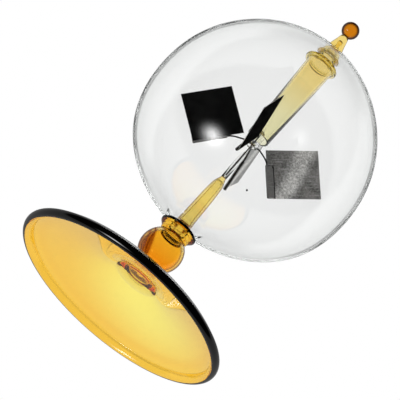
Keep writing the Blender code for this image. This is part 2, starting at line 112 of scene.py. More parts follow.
CUP_WALL = 0.6 * MM

# Flaws in the bulb's glass.
SEED_COUNT = 7
SEED_RADIUS = 0.16 * MM
SEED_DRAW = 4
SPECK_RADIUS = 0.34 * MM
SPECK_AZIMUTH = math.radians(-72.5)
SPECK_ELEVATION = math.radians(-45.6)

# Rotor.
VANE_COUNT = 4
ROTOR_AZIMUTH = math.radians(-10.0)
VANE_SIDE = 17.5 * MM
VANE_THICKNESS = 0.2 * MM
VANE_INNER_RADIUS = 4.6 * MM
VANE_CORNER_RISE = 1.6 * MM
VANE_EDGE_SLOPE = math.radians(50.5)
WIRE_RADIUS = 0.26 * MM
WIRE_GAP = 0.1 * MM
HEM_START = 5.8 * MM
HEM_TAB = 2.0 * MM
HEM_MOUTH = 0.12 * MM
HEM_TAPER = 1.5 * MM
COAT_GAP = 0.02 * MM
COAT_THICKNESS = 0.08 * MM
DENT_DEPTH = 0.1 * MM
BEAD_HEIGHT = 1.6 * MM
BEAD_RADIUS = 2.3 * MM
SOCKET_DEPTH = 0.5 * MM
ARM_STUB = 0.9 * MM
ARM_BEND_RADIUS = 1.6 * MM

# Optics. The bulb bends light far less than real glass, so that what is behind it shows in place.
GLASS_IOR = 1.5
BULB_IOR = 1.03
STREAK_TINT = 0.985

# Colours, as shares of red, green and blue.
WHITE = (1.0, 1.0, 1.0)
BLACK = (0.0, 0.0, 0.0)
# BROWN_EDGE_SHADE is a painted shade for the outlines of amber glass.
BROWN_EDGE_SHADE = (0.05, 0.012, 0.002)
CLEAR_DYE = (0.95, 0.96, 0.95)


# ---- helpers


def ends(node):
    """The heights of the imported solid's foot and top, and its radius."""
    small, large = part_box(node)
    return small.z, large.z, (large.x - small.x) / 2


def low(node):
    return ends(node)[0]


def high(node):
    return ends(node)[1]


def radius(node):
    return ends(node)[2]


def arc(centre, size, start, end, steps):
    """Points on a circle in the profile plane, by angles in degrees from +radius towards +height."""
    angles = [math.radians(start) + math.radians(end - start) * i / steps for i in range(steps + 1)]
    return [(centre[0] + size * math.cos(a), centre[1] + size * math.sin(a)) for a in angles]


def between(t, p, q, r, s):
    """One coordinate of a Catmull-Rom curve, a share t of the way from q to r."""
    straight = 2 * q + (r - p) * t
    return 0.5 * (straight + (2 * p - 5 * q + 4 * r - s) * t**2 + (3 * q - p - 3 * r + s) * t**3)


def smooth(points, steps):
    """A Catmull-Rom curve through the points, each stretch in so many steps."""
    path = [points[0], *points, points[-1]]
    curve = []
    for four in zip(path, path[1:], path[2:], path[3:]):
        for i in range(steps):
            curve.append(tuple(between(i / steps, *parts) for parts in zip(*four)))
    return [*curve, points[-1]]


def eased(points, size, steps=4):
    """The path with each of its corners rounded to this size, or to what the next points leave."""
    path = [points[0]]
    for before, corner, after in zip(points, points[1:], points[2:]):
        here = Vector(corner)
        back = Vector(before) - here
        ahead = Vector(after) - here
        reach = min(size, back.length * EASE_SHARE, ahead.length * EASE_SHARE)
        start = here + back.normalized() * reach
        end = here + ahead.normalized() * reach
        for i in range(steps + 1):
            t = i / steps
            path.append(tuple(start * (1 - t) ** 2 + here * 2 * t * (1 - t) + end * t**2))
    return [*path, points[-1]]


def inset(points, distance):
    """The points of an outline that runs down its outer side, moved inwards by the distance."""
    moved = []
    for i, (r, z) in enumerate(points):
        before = points[max(i - 1, 0)]
        after = points[min(i + 1, len(points) - 1)]
        along = Vector((after[0] - before[0], after[1] - before[1])).normalized()
        moved.append((r + along.y * distance, z - along.x * distance))
    return moved


def show(name, data):
    obj = bpy.data.objects.new(name, data)
    bpy.context.scene.collection.objects.link(obj)
    return obj


def evaluated_mesh(obj, name):
    """The object's finished mesh, with its modifiers in it, as a new object. The old one is removed."""
    bpy.context.view_layer.update()
    graph = bpy.context.evaluated_depsgraph_get()
    mesh = bpy.data.meshes.new_from_object(obj.evaluated_get(graph))
    mesh.name = name
    bpy.data.objects.remove(obj)
    return show(name, mesh)


def face_outwards(mesh, weld=None):
    """Turns the faces outwards, once points that are nearer than the weld are one."""
    bm = bmesh.new()
    bm.from_mesh(mesh)
    if weld:
        bmesh.ops.remove_doubles(bm, verts=bm.verts, dist=weld)
    bmesh.ops.recalc_face_normals(bm, faces=bm.faces)
    bm.to_mesh(mesh)
    bm.free()


def finished(obj, body, slot, *nodes):
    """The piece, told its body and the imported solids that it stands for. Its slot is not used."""
    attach(obj, body)
    if nodes:
        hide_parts(*nodes)
    return obj


# ---- node helpers


def fill(tree, node, **values):
    """Gives the node's inputs these values, by number or by name. Another node's socket is linked."""
    for key, value in values.items():
        socket = node.inputs[int(key[1:]) if key[0] == "i" and key[1:].isdigit() else key.replace("_", " ")]
        if isinstance(value, bpy.types.NodeSocket):
            tree.links.new(value, socket)
        else:
            socket.default_value = value


def put(tree, kind, settings=None, **values):
    """A new node with these settings and input values."""
    made = tree.nodes.new(kind)
    for key, value in (settings or {}).items():
        setattr(made, key, value)
    fill(tree, made, **values)
    return made


def maths(tree, operation, a, b=0.0, c=0.0, clamp=False):
    node = put(tree, "ShaderNodeMath", {"operation": operation, "use_clamp": clamp}, i0=a, i1=b, i2=c)
    return node.outputs[0]


def ranged(tree, value, start, end, to_start=0.0, to_end=1.0):
    """The value, smoothly taken from one range to another and held at its ends."""
    settings = {"interpolation_type": "SMOOTHSTEP"}
    node = put(tree, "ShaderNodeMapRange", settings, i0=value, i1=start, i2=end, i3=to_start, i4=to_end)
    return node.outputs[0]


def product(tree, first, *others):
    for other in others:
        first = maths(tree, "MULTIPLY", first, other)
    return first


def one_less(tree, value):
    """One less the value."""
    return maths(tree, "SUBTRACT", 1.0, value)


def distance_from(tree, value, middle):
    return maths(tree, "ABSOLUTE", maths(tree, "SUBTRACT", value, middle))


def split(tree, vector):
    """The vector's three parts."""
    return put(tree, "ShaderNodeSeparateXYZ", i0=vector).outputs


def noise(tree, vector, scale, **values):
    return put(tree, "ShaderNodeTexNoise", Vector=vector, Scale=scale, **values).outputs[0]


def blend(tree, factor, first, second, mode="MIX"):
    """Two colours mixed by the factor."""
    a, b = (c if isinstance(c, bpy.types.NodeSocket) else (*c, 1.0) for c in (first, second))
    settings = {"data_type": "RGBA", "blend_type": mode}
    return put(tree, "ShaderNodeMix", settings, i0=factor, i6=a, i7=b).outputs[2]


def end_tree(tree, geometry, finish):
    """Shades the pieces smooth, makes their instances real and gives them their material."""
    rounded = put(tree, "GeometryNodeSetShadeSmooth", Geometry=geometry)
    real = put(tree, "GeometryNodeRealizeInstances", Geometry=rounded.outputs[0])
    done = put(tree, "GeometryNodeSetMaterial", Geometry=real.outputs[0], Material=finish)
    put(tree, "NodeGroupOutput", i0=done.outputs[0])
    return tree


def group_tree(name, kind, inputs, outputs):
    """A new node tree and its inputs' sockets. An input is a name, type and start value."""
    tree = bpy.data.node_groups.new(name, kind)
    for label, value_type, start in inputs:
        socket = tree.interface.new_socket(label, in_out="INPUT", socket_type="NodeSocket" + value_type)
        if start is not None:
            socket.default_value = start
    for label, value_type in outputs:
        tree.interface.new_socket(label, in_out="OUTPUT", socket_type="NodeSocket" + value_type)
    return tree, put(tree, "NodeGroupInput").outputs


# ---- turned glass


def turning_tree():
    """Turns the points of a profile, in their order, about Z.

    The grid has one column for each step round, and one point in it for each point of the profile.
    """
    tree, given = group_tree(
        "turned_glass",
        "GeometryNodeTree",
        [
            ("Profile", "Geometry", None),
            ("Sides", "Int", 64),
            ("Closed", "Int", 0),
            ("Weld Distance", "Float", WELD),
            ("Finish", "Material", None),
        ],
        [("Glass", "Geometry")],
    )
    size = put(tree, "GeometryNodeAttributeDomainSize", {"component": "MESH"}, Geometry=given["Profile"])
    count = size.outputs["Point Count"]
    rings = maths(tree, "ADD", count, given["Closed"])
    columns = maths(tree, "ADD", given["Sides"], 1.0)
    grid = put(tree, "GeometryNodeMeshGrid", Vertices_X=columns, Vertices_Y=rings)
    index = put(tree, "GeometryNodeInputIndex").outputs[0]
    side = maths(tree, "FLOOR", maths(tree, "DIVIDE", maths(tree, "ADD", index, 0.5), rings))
    ring = maths(tree, "SUBTRACT", index, product(tree, side, rings))
    sample = put(
        tree,
        "GeometryNodeSampleIndex",
        {"data_type": "FLOAT_VECTOR", "domain": "POINT", "clamp": True},
        Geometry=given["Profile"],
        Value=put(tree, "GeometryNodeInputPosition").outputs[0],
        Index=maths(tree, "MODULO", ring, count),
    )
    place = split(tree, sample.outputs[0])
    angle = product(tree, maths(tree, "DIVIDE", side, given["Sides"]), math.tau)
    x = product(tree, place[0], maths(tree, "COSINE", angle))
    y = product(tree, place[0], maths(tree, "SINE", angle))
    around = put(tree, "ShaderNodeCombineXYZ", i0=x, i1=y, i2=place[2]).outputs[0]
    moved = put(tree, "GeometryNodeSetPosition", Geometry=grid.outputs["Mesh"], Position=around)
    near = given["Weld Distance"]
    welded = put(tree, "GeometryNodeMergeByDistance", Geometry=moved.outputs[0], Distance=near)
    return end_tree(tree, welded.outputs[0], given["Finish"])


def grow(obj, tree, values):
    """Runs a Geometry Nodes tree on the object, with its inputs set by each socket's identifier."""
    modifier = obj.modifiers.new(tree.name, "NODES")
    modifier.node_group = tree
    for item in tree.interface.items_tree:
        if item.item_type == "SOCKET" and item.in_out == "INPUT" and item.name in values:
            modifier[item.identifier] = values[item.name]


def turned(name, profile, finish, body="stand", slot="amber_glass", sides=NARROW_SIDES, closed=False):
    """One glass or metal piece turned from its profile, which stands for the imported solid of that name."""
    mesh = bpy.data.meshes.new(name + "_profile")
    edges = [(i, i + 1) for i in range(len(profile) - 1)]
    mesh.from_pydata([(r, 0.0, z) for r, z in profile], edges, [])
    obj = show(name + "_profile", mesh)
    grow(obj, TURNING, {"Sides": sides, "Closed": int(closed), "Finish": finish})
    made = evaluated_mesh(obj, name + "_piece")
    face_outwards(made.data)
    return finished(made, body, slot, name)


def foot_profile():
    """A shallow saucer, upside down, with a rolled edge and a trumpet-shaped pedestal at its crown."""
    _, top, r = ends("foot")
    shoulder = (r - 2.2 * MM, 3.7 * MM)
    crown = (8.5 * MM, top - 5.0 * MM)
    slope = (crown[1] - shoulder[1]) / (shoulder[0] - crown[0])
    near_crown = (crown[0] + 7.0 * MM, crown[1] - 8.5 * MM * slope)
    near_shoulder = (shoulder[0] - 4.5 * MM, shoulder[1] + 7.0 * MM * slope)
    saucer = smooth([crown, near_crown, near_shoulder, shoulder], 12)
    neck = 4.5 * MM
    waist = (5.6 * MM, (top + crown[1]) / 2 - 0.5 * MM)
    pedestal = smooth([(neck, top - 0.3 * MM), (neck, top - 1.4 * MM), waist, crown], 8)
    rim = arc((r - RIM_RADIUS, RIM_RADIUS), RIM_RADIUS, 58.0, -115.0, 28)
    under = inset(saucer, FOOT_WALL)
    inner_edge = smooth([rim[-1], (rim[-1][0] - 0.55 * MM, 0.85 * MM), under[-3]], 8)
    ceiling = under[0][1]
    middle = smooth([under[0], (3.5 * MM, ceiling + 0.12 * MM), (0.0, ceiling + 0.15 * MM)], 6)
    seat = [(0.0, top), (neck - 0.3 * MM, top)]
    return [*seat, *pedestal[:-1], *saucer, *rim, *inner_edge[1:], *under[-4:0:-1], *middle]


def knop_profile():
    """A hollow ball, flat where it sits on the pedestal and open where it meets the collar."""
    base, top, r = ends("ball_knop")
    z = base + math.sqrt(r**2 - KNOP_SEAT_RADIUS**2)
    hollow = r - KNOP_WALL
    upper = math.degrees(math.acos(KNOP_MOUTH_RADIUS / r))
    lower = -math.degrees(math.acos(KNOP_SEAT_RADIUS / r))
    outer = arc((0.0, z), r, upper, lower, 48)
    inner = arc((0.0, z), hollow, -90.0, math.degrees(math.acos(COLLAR_BORE_RADIUS / hollow)), 48)
    inner[0] = (0.0, z - hollow)
    return [*inner, (COLLAR_BORE_RADIUS, top), *outer, (0.0, outer[-1][1])]


def collar_profile():
    """A short tube with a rounded belly, flared to a rounded lip."""
    base, top, lip = ends("collar")
    half = 0.5 * MM
    ease = 0.6 * MM
    bore = COLLAR_BORE_RADIUS
    belly = KNOP_MOUTH_RADIUS + COLLAR_BULGE
    rim = arc((lip - half, top - half), half, 90.0, -60.0, 12)
    side_points = [
        rim[-1],
        (belly, top - 2 * half - 1.5 * MM),
        (belly, base + 0.5 * MM),
        (KNOP_MOUTH_RADIUS, base),
    ]
    side = smooth(side_points, 8)
    bore_path = eased([(bore + ease, base), (bore, base), (bore, top), (bore + ease, top)], 0.3 * MM)
    return [*rim[:-1], *side, *bore_path]


def stem_profile():
    """A hollow stem: flared where it closes the bulb, tapered, and drawn to a solid tip."""
    base, top, flare = ends("support_stem")
    wide = 2.7 * MM
    narrow = 2.1 * MM
    outer_points = [
        (1.0 * MM, top - 0.05 * MM),
        (1.2 * MM, top - 0.7 * MM),
        (narrow - 0.3 * MM, top - 2.4 * MM),
        (narrow, top - 4.2 * MM),
        ((narrow + wide) / 2, top - 9.0 * MM),
        (wide - 0.1 * MM, base + 7.0 * MM),
        (wide, base + 4.2 * MM),
        (wide + 0.35 * MM, base + 2.0 * MM),
        (flare - 1.0 * MM, base + 0.7 * MM),
        (flare, base),
    ]
    outer = smooth(outer_points, 6)
    hollow = narrow - STEM_WALL
    dome = arc((0.0, top - 1.7 * MM - hollow), hollow, 0.0, 90.0, 10)
    dome[-1] = (0.0, dome[-1][1])
    inner_points = [
        (flare - 1.3 * MM, base),
        (wide - STEM_WALL + 0.4 * MM, base + 1.0 * MM),
        (wide - STEM_WALL, base + 3.0 * MM),
        dome[0],
    ]
    inner = smooth(inner_points, 8)
    return [(0.0, top), *outer, *inner[:-1], *dome]


def holder_profile():
    """A clear glass tip with a blind bore for the needle."""
    base, top, r = ends("needle_holder")
    bore = radius("needle") + 0.06 * MM
    floor = low("needle") - 0.1 * MM
    tip = smooth(
        [(0.5 * MM, top), (0.62 * MM, top - 0.25 * MM), (0.88 * MM, top - 1.6 * MM), (r, top - 3.4 * MM)], 8
    )
    return [
        (0.0, floor),
        (bore * 0.7, floor),
        (bore, floor + 0.15 * MM),
        (bore, top - 0.2 * MM),
        *tip,
        (r, base + 0.1 * MM),
        (r - 0.1 * MM, base),
        (0.0, base),
    ]


def needle_profile():
    base, top, r = ends("needle")
    return [
        (0.0, top),
        (0.03 * MM, top - 0.03 * MM),
        (r * 0.55, top - 0.7 * MM),
        (r, top - 1.7 * MM),
        (r, base + 0.08 * MM),
        (r - 0.08 * MM, base),
        (0.0, base),
    ]


def bulb_profile():
    """The bulb's wall, from its top hole down to the short neck on the collar, and back up inside."""
    base, top, _ = ends("bulb")
    z = top - math.sqrt(BULB_RADIUS**2 - BULB_HOLE_RADIUS**2)
    fillet = 2.5 * MM
    end_height = base + 0.2 * MM
    knee = (BULB_NECK_RADIUS + fillet, base + 1.0 * MM)
    meet = math.degrees(math.atan2(knee[1] - z, knee[0]))
    start = math.degrees(math.acos(BULB_HOLE_RADIUS / BULB_RADIUS))
    steps = 120

    def bump(angle, size, place):
        return size * math.exp(-(((angle - place) / BULB_BEND_SPREAD) ** 2))

    def side(depth):
        ball = []
        for i in range(steps + 1):
            angle = math.radians(start + (meet - start) * i / steps)
            swell = bump(angle, BULB_SWELL, BULB_SWELL_AT)
            flat = bump(angle, BULB_FLAT, BULB_FLAT_AT)
            away = BULB_RADIUS - depth + swell - flat
            ball.append((away * math.cos(angle), z + away * math.sin(angle)))
        bend = arc(knee, fillet + depth, meet + 180.0, 180.0, 16)
        return [*ball, *bend[1:], (BULB_NECK_RADIUS - depth, end_height)]

    outer = side(0.0)
    inner = side(BULB_WALL)
    end = arc((BULB_NECK_RADIUS - BULB_WALL / 2, end_height), BULB_WALL / 2, 0.0, -180.0, 8)
    return [*outer[:-1], *end, *inner[-2::-1]]


def guide_profile():
    """A tube that narrows downwards.

    It has a rolled flange under the bulb's top, and a neck through the bulb's hole.
    """
    base, top, flange = ends("guide_tube")
    neck = 3.0 * MM
    narrow = 4.0 * MM
    wide = 4.9 * MM
    bore = wide - GUIDE_WALL
    half = 0.55 * MM
    flange_z = top - 3.77 * MM
    roll = arc((flange - half, flange_z), half, 110.0, -100.0, 12)
    outer_points = [
        (neck, top),
        (neck, flange_z + 1.5 * MM),
        (neck + 0.9 * MM, flange_z + half + 0.15 * MM),
        roll[0],
    ]
    outer = smooth(outer_points, 6)
    under = smooth([roll[-1], (wide + 0.15 * MM, flange_z - 1.0 * MM), (wide, flange_z - 2.0 * MM)], 6)
    end = arc((narrow - GUIDE_WALL / 2, base + GUIDE_WALL / 2), GUIDE_WALL / 2, 0.0, -180.0, 8)
    inner_points = [
        (bore, flange_z - 2.0 * MM),
        (bore + 0.05 * MM, flange_z - 0.6 * MM),
        (neck - 0.2 * MM, flange_z + 0.3 * MM),
        (neck - 1.0 * MM, flange_z + 1.6 * MM),
        (neck - 1.0 * MM, top),
    ]
    inner = smooth(inner_points, 6)
    return [*outer, *roll[1:-1], *under, *end, *inner]


def cone_profile():
    """The sealed exhaust tip: a hollow cone with a hollow flare and a short solid neck."""
    base, top, r = ends("finial_cone")
    neck = 1.0 * MM
    side_points = [
        (1.5 * MM, top - 0.4 * MM),
        (2.55 * MM, (base + top) / 2),
        (r - 0.7 * MM, base + 1.2 * MM),
        (r, base),
    ]
    side = smooth(side_points, 10)
    hollow_points = [
        (r - 1.9 * MM, base),
        (1.1 * MM, base + 3.0 * MM),
        (0.55 * MM, base + 4.6 * MM),
        (0.85 * MM, base + 5.9 * MM),
        (0.45 * MM, base + 6.9 * MM),
        (0.0, base + 7.0 * MM),
    ]
    hollow = smooth(hollow_points, 8)
    return [(0.0, top), (neck - 0.1 * MM, top), (neck, top - 0.2 * MM), *side, *hollow]


def finial_profile():
    base, top, r = ends("finial_ball")
    low_angle = -math.degrees(math.asin(min(1.0, (top - r - base) / r)))
    ball = arc((0.0, top - r), r, 90.0, low_angle, 40)
    ball[0] = (0.0, top)
    return [*ball, (0.0, ball[-1][1])]


def cup_profile():
    """A small inverted cup with a drawn tail on top and a thick bead at its mouth for the arms."""
    base, top, _ = ends("pivot_cup")
    outer = CUP_BORE + CUP_WALL
    dome_z = top - 5.6 * MM - outer
    half = BEAD_HEIGHT / 2
    round_mouth = 0.15 * MM
    shoulder = 48.0
    lean = math.radians(shoulder)
    tail_points = [
        (0.11 * MM, top - 0.05 * MM),
        (0.2 * MM, top - 2.0 * MM),
        (0.26 * MM, dome_z + outer + 1.2 * MM),
        (0.75 * MM, dome_z + outer - 0.05 * MM),
        (outer * math.cos(lean), dome_z + outer * math.sin(lean)),
    ]
    tail = smooth(tail_points, 8)
    dome = arc((0.0, dome_z), outer, shoulder, 0.0, 10)
    waist_points = [
        dome[-1],
        (outer - 0.05 * MM, base + BEAD_HEIGHT + 0.9 * MM),
        (outer + 0.05 * MM, base + BEAD_HEIGHT + 0.1 * MM),
        (BEAD_RADIUS - 0.12 * MM, base + half + 0.55 * MM),
        (BEAD_RADIUS, base + half),
    ]
    waist = smooth(waist_points, 6)
    roll = arc((BEAD_RADIUS - half, base + half), half, 0.0, -90.0, 10)
    mouth = arc((CUP_BORE + round_mouth, base + round_mouth), round_mouth, -90.0, -180.0, 4)
    hollow = arc((0.0, dome_z), CUP_BORE, 0.0, 90.0, 12)
    hollow[-1] = (0.0, dome_z + CUP_BORE)
    return [(0.0, top), *tail[:-1], *dome[:-1], *waist[:-1], *roll, *mouth, *hollow]


def seeds_tree():
    """Scatters small seeds over the lower half of the glass that it is given."""
    tree, given = group_tree(
        "glass_seeds",
        "GeometryNodeTree",
        [
            ("Glass", "Geometry", None),
            ("Count Per Square Metre", "Float", 500.0),
            ("Highest", "Float", 0.06),
            ("Seed Radius", "Float", SEED_RADIUS),
            ("Random Seed", "Int", SEED_DRAW),
            ("Finish", "Material", None),
        ],
        [("Seeds", "Geometry")],
    )
    height = split(tree, put(tree, "GeometryNodeInputPosition").outputs[0])[2]
    is_low = put(tree, "FunctionNodeCompare", {"operation": "LESS_THAN"}, i0=height, i1=given["Highest"])
    points = put(
        tree,
        "GeometryNodeDistributePointsOnFaces",
        Mesh=given["Glass"],
        Selection=is_low.outputs[0],
        Density=given["Count Per Square Metre"],
        Seed=given["Random Seed"],
    )
    ball = put(tree, "GeometryNodeMeshIcoSphere", Radius=given["Seed Radius"], Subdivisions=3)
    size = put(tree, "FunctionNodeRandomValue", {"data_type": "FLOAT"}, i2=0.5, i3=1.0)
    spread_out = put(
        tree,
        "GeometryNodeInstanceOnPoints",
        Points=points.outputs[0],
        Instance=ball.outputs["Mesh"],
        Scale=size.outputs[1],
    )
    return end_tree(tree, spread_out.outputs[0], given["Finish"])


def bulb_seeds(bulb, finish):
    """A few tiny seeds in the bulb's wall."""
    area = math.tau * BULB_RADIUS**2
    obj = show("bulb_seeds_source", bulb.data.copy())
    values = {
        "Count Per Square Metre": SEED_COUNT / area,
        "Highest": low("bulb") + BULB_RADIUS,
        "Seed Radius": SEED_RADIUS,
        "Random Seed": SEED_DRAW,
        "Finish": finish,
    }
    grow(obj, SEEDS, values)
    finished(evaluated_mesh(obj, "bulb_seeds"), "stand", "clear_glass")


def bulb_speck(finish):
    """One grain of scale in the bulb's wall."""
    centre = Vector((0.0, 0.0, high("bulb") - BULB_RADIUS))
    flat = math.cos(SPECK_ELEVATION)
    x = flat * math.cos(SPECK_AZIMUTH)
    y = flat * math.sin(SPECK_AZIMUTH)
    away = Vector((x, y, math.sin(SPECK_ELEVATION)))
    bm = bmesh.new()
    bmesh.ops.create_icosphere(bm, subdivisions=3, radius=SPECK_RADIUS)
    bm.transform(Matrix.Translation(centre + away * (BULB_RADIUS - BULB_WALL / 2)))
    mesh = bpy.data.meshes.new("bulb_speck")
    bm.to_mesh(mesh)
    bm.free()
    mesh.materials.append(finish)
    mesh.shade_smooth()
    finished(show("bulb_speck", mesh), "stand", "lamp_black")


# ---- rotor


HUB_Z = low("pivot_cup") + BEAD_HEIGHT / 2
FOLD_RADIUS = WIRE_RADIUS + WIRE_GAP + VANE_THICKNESS / 2
FOLD_SWEEP = math.pi + math.asin((2 * FOLD_RADIUS - VANE_THICKNESS - HEM_MOUTH) / HEM_TAB)

# The hem's lines as shares of the vane's side, where painted shade lines go: its free edge, its crest, and
# how far it lies over the sheet.
HEM_LIP = -(FOLD_SWEEP * FOLD_RADIUS + HEM_TAB) / VANE_SIDE
HEM_CREST = -math.pi / 2 * FOLD_RADIUS / VANE_SIDE
HEM_REACH = (HEM_TAB + 0.12 * MM) / VANE_SIDE


def azimuth(number):
    return ROTOR_AZIMUTH + number * math.tau / VANE_COUNT


def vane_edge(distance):
    """The point of the vane's hemmed edge that far from its inner corner, as (radius, height)."""
    r = VANE_INNER_RADIUS + distance * math.cos(VANE_EDGE_SLOPE)
    return r, HUB_Z + VANE_CORNER_RISE - distance * math.sin(VANE_EDGE_SLOPE)


def sheet_place(along, across, offset):
    """Where a point of the flat sheet goes once the hem is folded round the wire.

    along runs down the hemmed edge from the inner corner, across is positive on the vane and negative
    on the hem, and offset is the distance from the sheet's middle, positive on the blackened side.
    """
    ring = FOLD_RADIUS + offset
    if across >= 0:
        over = across
        side = ring
    else:
        bent = -across / FOLD_RADIUS
        angle = min(bent, FOLD_SWEEP)
        straight = max(bent - FOLD_SWEEP, 0.0) * FOLD_RADIUS
        over = -ring * math.sin(angle) - straight * math.cos(angle)
        side = ring * math.cos(angle) - straight * math.sin(angle)
    r, z = vane_edge(along)
    return Vector((r + over * math.sin(VANE_EDGE_SLOPE), side, z + over * math.cos(VANE_EDGE_SLOPE)))


def dent(along, across, number):
    """How far hand work has bent the sheet from flat at this point."""
    u = along / VANE_SIDE
    v = max(across, 0.0) / VANE_SIDE
    wave = math.sin(3.1 * u + number) * math.sin(2.3 * v + 2 * number)
    return DENT_DEPTH * wave * v


def tab_shift(along, across):
    """How far the tab's first corner is cut back along the hem, at this point of the flat sheet."""
    if across >= 0:
        return 0.0
    on_tab = max(0.0, -across - math.pi * FOLD_RADIUS) / HEM_TAB
    return 0.5 * HEM_TAB * on_tab * max(0.0, 1 - (along - HEM_START) / HEM_TAPER)


def sheet(name, number, along, across, offset, thickness, finish):
    """The part of a vane's sheet between these lines, with its thickness, turned to the arm's azimuth."""
    bm = bmesh.new()
    maps = bm.loops.layers.uv.new("sheet")
    grid = {}
    for i, u in enumerate(along):
        for j, v in enumerate(across):
            if v >= 0 or u >= HEM_START - WELD:
                place = sheet_place(u + tab_shift(u, v), v, offset + dent(u, v, number))
                grid[i, j] = bm.verts.new(place)
    for i in range(len(along) - 1):
        for j in range(len(across) - 1):
            corners = [(i, j), (i + 1, j), (i + 1, j + 1), (i, j + 1)]
            if all(corner in grid for corner in corners):
                face = bm.faces.new([grid[corner] for corner in corners])
                for loop, (a, b) in zip(face.loops, corners):
                    loop[maps].uv = (along[a] / VANE_SIDE, across[b] / VANE_SIDE)
    bm.transform(Matrix.Rotation(azimuth(number), 4, "Z"))
    mesh = bpy.data.meshes.new(name)
    bm.to_mesh(mesh)
    bm.free()
    mesh.materials.append(finish)
    obj = show(name + "_open", mesh)
    thicken = obj.modifiers.new("Thickness", "SOLIDIFY")
    thicken.thickness = thickness
    thicken.offset = 0.0
    soften = obj.modifiers.new("Soft edges", "BEVEL")
    soften.width = thickness * 0.3
    soften.segments = 2
    soften.limit_method = "ANGLE"
    made = evaluated_mesh(obj, name)
    made.data.shade_smooth()
    made.data.set_sharp_from_angle(angle=math.radians(35))
    return made


def spread(start, end, steps):
    return [start + (end - start) * i / steps for i in range(steps + 1)]


def vane(number, finish):
    """A square metal sheet with a hem folded back round its wire."""
    fold = FOLD_RADIUS * FOLD_SWEEP
    across = [
        *spread(-fold - HEM_TAB, -fold, 4)[:-1],
        *spread(-fold, 0.0, 20)[:-1],
        *spread(0.0, VANE_SIDE, 24),
    ]
    along = [*spread(0.0, HEM_START, 8)[:-1], *spread(HEM_START, VANE_SIDE, 20)]
    name = f"vane_{number + 1}"
    made = sheet(name + "_piece", number, along, across, 0.0, VANE_THICKNESS, finish)
    return finished(made, "rotor", "vane_metal", name)


def blacking(number, finish):
    """The lamp black on the vane's flat face."""
    offset = VANE_THICKNESS / 2 + COAT_GAP + COAT_THICKNESS / 2
    lines = spread(0.0, VANE_SIDE, 24)
    name = f"blacking_{number + 1}"
    made = sheet(name + "_piece", number, lines, lines, offset, COAT_THICKNESS, finish)
    return finished(made, "rotor", "lamp_black", name)


def arm(number, finish):
    """A drawn wire from its socket in the bead to the end of the hem."""
    corners = [
        (BEAD_RADIUS - SOCKET_DEPTH, HUB_Z),
        (BEAD_RADIUS + ARM_STUB, HUB_Z),
        vane_edge(HEM_START - ARM_BEND_RADIUS),
        vane_edge(VANE_SIDE - WIRE_GAP),
    ]
    path = eased(corners, ARM_BEND_RADIUS, 8)
    name = f"arm_{number + 1}"
    curve = bpy.data.curves.new(name, "CURVE")
    curve.dimensions = "3D"
    curve.bevel_depth = WIRE_RADIUS
    curve.bevel_resolution = 4
    curve.use_fill_caps = True
    spline = curve.splines.new("POLY")
    spline.points.add(len(path) - 1)
    angle = azimuth(number)
    for point, (r, z) in zip(spline.points, path):
        point.co = (r * math.cos(angle), r * math.sin(angle), z, 1.0)
    curve.materials.append(finish)
    made = evaluated_mesh(show(name + "_line", curve), name + "_piece")
    face_outwards(made.data, WELD)
    made.data.shade_smooth()
    return finished(made, "rotor", "arm_wire", name)


# ---- materials


def uneven_glass_group():
    """Slow waves and fine streaks, as hand-blown glass has them."""
    tree, given = group_tree(
        "uneven_glass",
        "ShaderNodeTree",
        [("Vector", "Vector", None), ("Wave Scale", "Float", 60.0), ("Streak Scale", "Float", 300.0)],
        [("Height", "Float"), ("Streak", "Float")],
    )
    wave = noise(tree, given["Vector"], given["Wave Scale"], Detail=2.0)
    stretch = (1.0, 1.0, 0.12)
    longer = put(tree, "ShaderNodeMapping", Vector=given["Vector"], Scale=stretch)
    streak = noise(tree, longer.outputs[0], given["Streak Scale"], Detail=3.0)
    put(tree, "NodeGroupOutput", Height=wave, Streak=streak)
    return tree


def scuffed_group():
    """Cloudy patches, fine grain and thin scratches for worked metal and for soot."""
    tree, given = group_tree(
        "scuffed",
        "ShaderNodeTree",
        [
            ("Vector", "Vector", None),
            ("Patch Scale", "Float", 5.0),
            ("Grain Scale", "Float", 60.0),
            ("Scratch Scale", "Float", 30.0),
        ],
        [(label, "Float") for label in ("Patch", "Grain", "Scratch")],
    )
    vector = given["Vector"]
    patch = noise(tree, vector, given["Patch Scale"], Detail=4.0, Distortion=0.6)
    grain = noise(tree, vector, given["Grain Scale"], Detail=5.0, Roughness=0.7)
    turn = (0.0, 0.0, math.radians(38))
    longer = put(tree, "ShaderNodeMapping", Vector=vector, Rotation=turn, Scale=(1.0, 0.07, 1.0))
    lines = noise(tree, longer.outputs[0], given["Scratch Scale"], Detail=2.0)
    put(
        tree,
        "NodeGroupOutput",
        Patch=ranged(tree, patch, 0.3, 0.7),
        Grain=ranged(tree, grain, 0.35, 0.7),
        Scratch=ranged(tree, lines, 0.58, 0.7),
    )
    return tree


def blank_material(name):
    made = bpy.data.materials.new(name)
    made.use_nodes = True
    tree = made.node_tree
    shader = tree.nodes["Principled BSDF"]
    where = put(tree, "ShaderNodeTexCoord").outputs
    return made, tree, shader, where


def scuffs(tree, vector, patch, grain, scratch):
    """The patches, grain and scratches of worked metal, at these scales."""
    scales = {"Patch_Scale": patch, "Grain_Scale": grain, "Scratch_Scale": scratch}
    return put(tree, "ShaderNodeGroup", {"node_tree": SCUFFED}, Vector=vector, **scales).outputs


def waves(tree, where, wave, streak):
    """The waves and streaks of blown glass, at these scales."""
    scales = {"Wave_Scale": wave, "Streak_Scale": streak}
    return put(tree, "ShaderNodeGroup", {"node_tree": UNEVEN}, Vector=where["Object"], **scales).outputs


def bumped(tree, height, strength, distance):
    """A surface that this height roughens."""
    settings = {"Strength": strength, "Distance": distance, "Height": height}
    return put(tree, "ShaderNodeBump", **settings).outputs[0]


